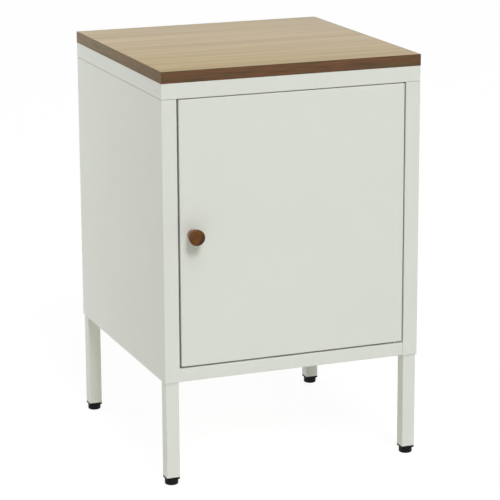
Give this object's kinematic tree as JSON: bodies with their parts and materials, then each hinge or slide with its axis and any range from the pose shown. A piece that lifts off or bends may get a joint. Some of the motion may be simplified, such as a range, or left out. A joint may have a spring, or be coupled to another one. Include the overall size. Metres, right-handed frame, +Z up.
{
  "type": "nightstand",
  "caption": "Steel bedside cabinet on slim square legs with a wood-look top board, an inset right-hinged door with a turned wooden knob, an inner shelf and levelling feet.",
  "frame": {"origin": "on the floor, under the middle of the whole outline with the knob counted in", "axes": "+Z up, +Y towards the back, +X towards the hinge side"},
  "size_m": [0.4, 0.424, 0.612],
  "materials": {
    "case_paint": "fine satin powder coat on sheet steel",
    "board_face": "wood-grain laminate, straight grain across the front",
    "board_edge": "dark wood-grain edge band",
    "knob_wood": "turned and oiled wood",
    "plated_steel": "bright zinc plating",
    "bush_nylon": "natural nylon",
    "catch_plastic": "moulded plastic",
    "catch_ferrite": "sintered ferrite",
    "foot_plastic": "moulded black plastic"
  },
  "bodies": {
    "case": {"top_pan": "case_paint", "side_panel_left": "case_paint", "side_panel_right": "case_paint", "back_panel": "case_paint", "bottom_panel": "case_paint", "shelf": "case_paint", "shelf_rail_left": "case_paint", "shelf_rail_right": "case_paint", "leg_front_left": "case_paint", "leg_front_right": "case_paint", "leg_back_left": "case_paint", "leg_back_right": "case_paint", "top_board": "board_face", "edge_band_front": "board_edge", "edge_band_back": "board_edge", "edge_band_left": "board_edge", "edge_band_right": "board_edge", "catch_poles": "plated_steel", "catch_screws": "plated_steel", "leg_nut_plates": "plated_steel", "leg_bolts": "plated_steel", "top_board_screws": "plated_steel", "top_pan_screws": "plated_steel", "floor_screws": "plated_steel", "back_panel_screws": "plated_steel", "hinge_bush_lower": "bush_nylon", "hinge_bush_upper": "bush_nylon", "catch_housing": "catch_plastic", "catch_magnet": "catch_ferrite", "leg_plug_front_left": "foot_plastic", "leg_plug_front_right": "foot_plastic", "leg_plug_back_left": "foot_plastic", "leg_plug_back_right": "foot_plastic"},
    "door": {"door_skin": "case_paint", "door_stiffener": "case_paint", "hinge_plate_lower": "plated_steel", "hinge_plate_upper": "plated_steel", "hinge_pin_lower": "plated_steel", "hinge_pin_upper": "plated_steel", "knob": "knob_wood", "knob_screw": "plated_steel", "knob_washer": "plated_steel"},
    "foot_front_left": {"foot_pad_front_left": "foot_plastic", "foot_stud_front_left": "plated_steel"},
    "foot_front_right": {"foot_pad_front_right": "foot_plastic", "foot_stud_front_right": "plated_steel"},
    "foot_back_left": {"foot_pad_back_left": "foot_plastic", "foot_stud_back_left": "plated_steel"},
    "foot_back_right": {"foot_pad_back_right": "foot_plastic", "foot_stud_back_right": "plated_steel"}
  },
  "joints": [
    {"name": "door_hinge", "type": "hinge", "parent": "case", "child": "door", "pos_m": [0.1653, -0.1825, 0.3751], "axis": [0, 0, 1], "range_deg": [0, 115]},
    {"name": "foot_front_left_level", "type": "slide", "parent": "case", "child": "foot_front_left", "axis": [0, 0, -1], "range_m": [0, 0.01]},
    {"name": "foot_front_right_level", "type": "slide", "parent": "case", "child": "foot_front_right", "axis": [0, 0, -1], "range_m": [0, 0.01]},
    {"name": "foot_back_left_level", "type": "slide", "parent": "case", "child": "foot_back_left", "axis": [0, 0, -1], "range_m": [0, 0.01]},
    {"name": "foot_back_right_level", "type": "slide", "parent": "case", "child": "foot_back_right", "axis": [0, 0, -1], "range_m": [0, 0.01]}
  ]
}
